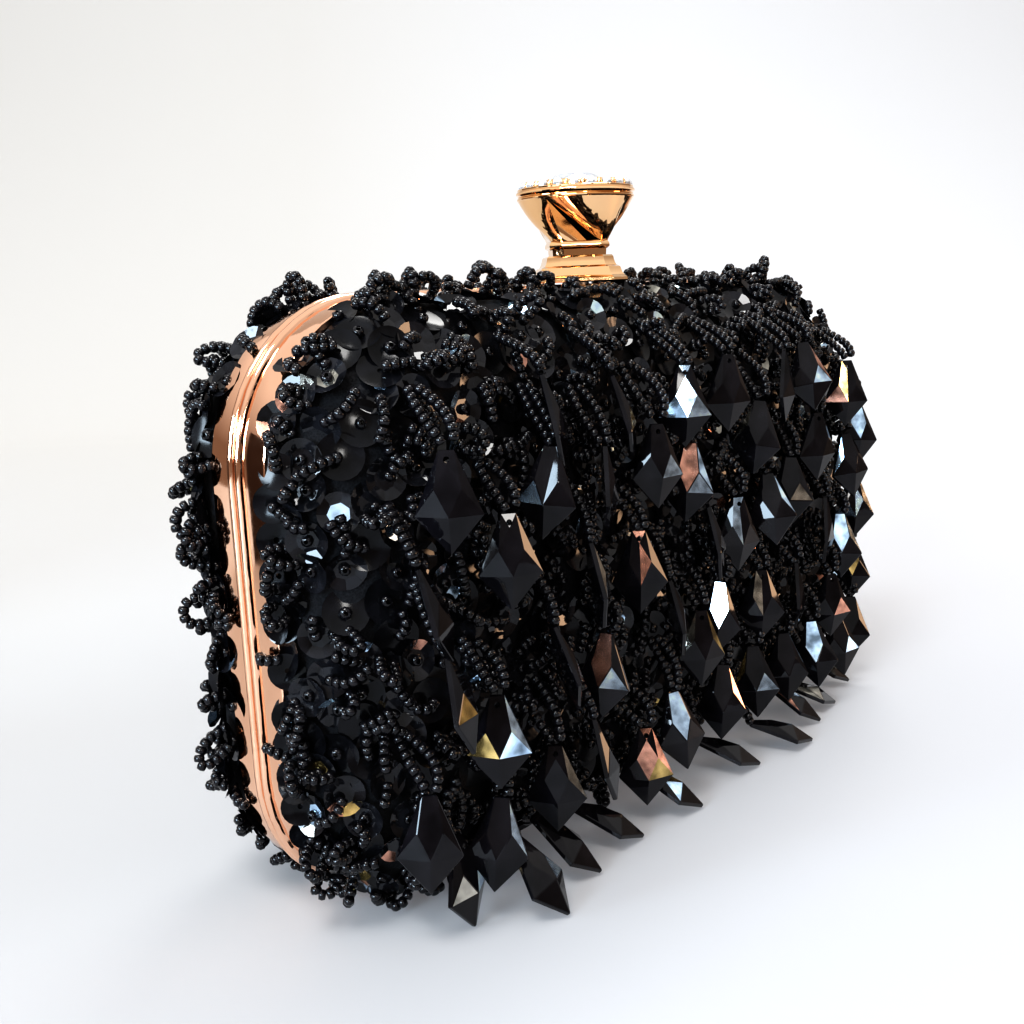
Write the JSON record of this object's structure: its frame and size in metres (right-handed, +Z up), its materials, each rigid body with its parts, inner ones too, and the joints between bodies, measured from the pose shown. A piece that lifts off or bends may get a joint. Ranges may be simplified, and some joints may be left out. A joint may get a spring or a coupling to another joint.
{
  "type": "evening bag",
  "caption": "Hard-shell evening bag with a rose gold frame, a bottom hinge, a press-down jewelled knob and a black beaded cover hung with faceted kite-shaped drops.",
  "frame": {"origin": "under the middle of the closed bag, on the surface it stands on", "axes": "+X along the width, to the right seen from the front; -Y towards the front; +Z up"},
  "size_m": [0.2018, 0.0663, 0.1395],
  "materials": {
    "frame_metal": "polished rose gold plate",
    "knob_metal": "polished yellow gold plate",
    "lock_steel": "plain",
    "shell_board": "moulded",
    "cover_fabric": "black embroidered with beads and sequins",
    "lining_satin": "black satin",
    "crystal": "foiled faceted crystal",
    "drop_acrylic": "glossy faceted"
  },
  "bodies": {
    "front_half": {"front_frame": "frame_metal", "front_shell": "shell_board", "front_cover": "cover_fabric", "front_lining": "lining_satin", "hinge_leaf_front": "frame_metal", "hinge_pin": "lock_steel", "knob_base": "knob_metal", "stem_bush": "knob_metal", "lock_bracket": "lock_steel", "latch_pin": "lock_steel", "press_spring": "lock_steel"},
    "rear_half": {"rear_frame": "frame_metal", "rear_shell": "shell_board", "rear_cover": "cover_fabric", "rear_lining": "lining_satin", "hinge_leaf_rear": "frame_metal", "keeper": "lock_steel"},
    "knob": {"knob_cup": "knob_metal", "knob_bezel": "knob_metal", "centre_crystal": "crystal", "press_stem": "lock_steel"},
    "latch": {"latch_hook": "lock_steel"},
    "drop_01": {"kite_01": "drop_acrylic"},
    "drop_02": {"kite_02": "drop_acrylic"},
    "drop_03": {"kite_03": "drop_acrylic"},
    "drop_04": {"kite_04": "drop_acrylic"},
    "drop_05": {"kite_05": "drop_acrylic"},
    "drop_06": {"kite_06": "drop_acrylic"},
    "drop_07": {"kite_07": "drop_acrylic"},
    "drop_08": {"kite_08": "drop_acrylic"},
    "drop_09": {"kite_09": "drop_acrylic"},
    "drop_10": {"kite_10": "drop_acrylic"},
    "drop_11": {"kite_11": "drop_acrylic"},
    "drop_12": {"kite_12": "drop_acrylic"},
    "drop_13": {"kite_13": "drop_acrylic"},
    "drop_14": {"kite_14": "drop_acrylic"},
    "drop_15": {"kite_15": "drop_acrylic"},
    "drop_16": {"kite_16": "drop_acrylic"},
    "drop_17": {"kite_17": "drop_acrylic"},
    "drop_18": {"kite_18": "drop_acrylic"},
    "drop_19": {"kite_19": "drop_acrylic"},
    "drop_20": {"kite_20": "drop_acrylic"}
  },
  "joints": [
    {"name": "rear_opening", "type": "hinge", "parent": "front_half", "child": "rear_half", "pos_m": [0, 0.00598, 0.002], "axis": [-1, 0, 0], "range_deg": [0, 95]},
    {"name": "clasp_press", "type": "slide", "parent": "front_half", "child": "knob", "axis": [0, 0, -1], "range_m": [0, 0.0025], "stiffness_N_per_m": 300, "springref_m": -0.004, "deforming": ["press_spring"]},
    {"name": "latch_turn", "type": "hinge", "parent": "front_half", "child": "latch", "pos_m": [0.008, 0.00598, 0.1026], "axis": [0, -1, 0], "range_deg": [0, 18]},
    {"name": "kite_01_swing", "type": "hinge", "parent": "front_half", "child": "drop_01", "pos_m": [-0.082, -0.0267, 0.0875], "axis": [-1, 0, 0], "range_deg": [0, 40]},
    {"name": "kite_02_swing", "type": "hinge", "parent": "front_half", "child": "drop_02", "pos_m": [-0.068, -0.02742, 0.0745], "axis": [-1, 0, 0], "range_deg": [0, 40]},
    {"name": "kite_03_swing", "type": "hinge", "parent": "front_half", "child": "drop_03", "pos_m": [-0.039, -0.02742, 0.0825], "axis": [-1, 0, 0], "range_deg": [0, 40]},
    {"name": "kite_04_swing", "type": "hinge", "parent": "front_half", "child": "drop_04", "pos_m": [-0.027, -0.02742, 0.0635], "axis": [-1, 0, 0], "range_deg": [0, 40]},
    {"name": "kite_05_swing", "type": "hinge", "parent": "front_half", "child": "drop_05", "pos_m": [-0.007, -0.02642, 0.0955], "axis": [-1, 0, 0], "range_deg": [0, 40]},
    {"name": "kite_06_swing", "type": "hinge", "parent": "front_half", "child": "drop_06", "pos_m": [-0.02, -0.02742, 0.0845], "axis": [-1, 0, 0], "range_deg": [0, 40]},
    {"name": "kite_07_swing", "type": "hinge", "parent": "front_half", "child": "drop_07", "pos_m": [0.012, -0.02609, 0.0965], "axis": [-1, 0, 0], "range_deg": [0, 40]},
    {"name": "kite_08_swing", "type": "hinge", "parent": "front_half", "child": "drop_08", "pos_m": [0.039, -0.02642, 0.0955], "axis": [-1, 0, 0], "range_deg": [0, 40]},
    {"name": "kite_09_swing", "type": "hinge", "parent": "front_half", "child": "drop_09", "pos_m": [0.074, -0.02742, 0.0905], "axis": [-1, 0, 0], "range_deg": [0, 40]},
    {"name": "kite_10_swing", "type": "hinge", "parent": "front_half", "child": "drop_10", "pos_m": [0.056, -0.02742, 0.0785], "axis": [-1, 0, 0], "range_deg": [0, 40]},
    {"name": "kite_11_swing", "type": "hinge", "parent": "front_half", "child": "drop_11", "pos_m": [0.014, -0.02742, 0.0635], "axis": [-1, 0, 0], "range_deg": [0, 40]},
    {"name": "kite_12_swing", "type": "hinge", "parent": "front_half", "child": "drop_12", "pos_m": [0.061, -0.02742, 0.0555], "axis": [-1, 0, 0], "range_deg": [0, 40]},
    {"name": "kite_13_swing", "type": "hinge", "parent": "front_half", "child": "drop_13", "pos_m": [0.088, -0.02426, 0.0565], "axis": [-1, 0, 0], "range_deg": [0, 40]},
    {"name": "kite_14_swing", "type": "hinge", "parent": "front_half", "child": "drop_14", "pos_m": [-0.003, -0.02742, 0.0405], "axis": [-1, 0, 0], "range_deg": [0, 40]},
    {"name": "kite_15_swing", "type": "hinge", "parent": "front_half", "child": "drop_15", "pos_m": [0.026, -0.02742, 0.0435], "axis": [-1, 0, 0], "range_deg": [0, 40]},
    {"name": "kite_16_swing", "type": "hinge", "parent": "front_half", "child": "drop_16", "pos_m": [0.044, -0.02742, 0.0415], "axis": [-1, 0, 0], "range_deg": [0, 40]},
    {"name": "kite_17_swing", "type": "hinge", "parent": "front_half", "child": "drop_17", "pos_m": [-0.073, -0.02742, 0.0425], "axis": [-1, 0, 0], "range_deg": [0, 40]},
    {"name": "kite_18_swing", "type": "hinge", "parent": "front_half", "child": "drop_18", "pos_m": [-0.057, -0.02742, 0.0275], "axis": [-1, 0, 0], "range_deg": [0, 40]},
    {"name": "kite_19_swing", "type": "hinge", "parent": "front_half", "child": "drop_19", "pos_m": [-0.026, -0.02742, 0.0205], "axis": [-1, 0, 0], "range_deg": [0, 40]},
    {"name": "kite_20_swing", "type": "hinge", "parent": "front_half", "child": "drop_20", "pos_m": [0.066, -0.02742, 0.0335], "axis": [-1, 0, 0], "range_deg": [0, 40]}
  ],
  "couplings": [
    {"joint": "latch_turn", "follows": "clasp_press", "rad_per_m": 125}
  ]
}
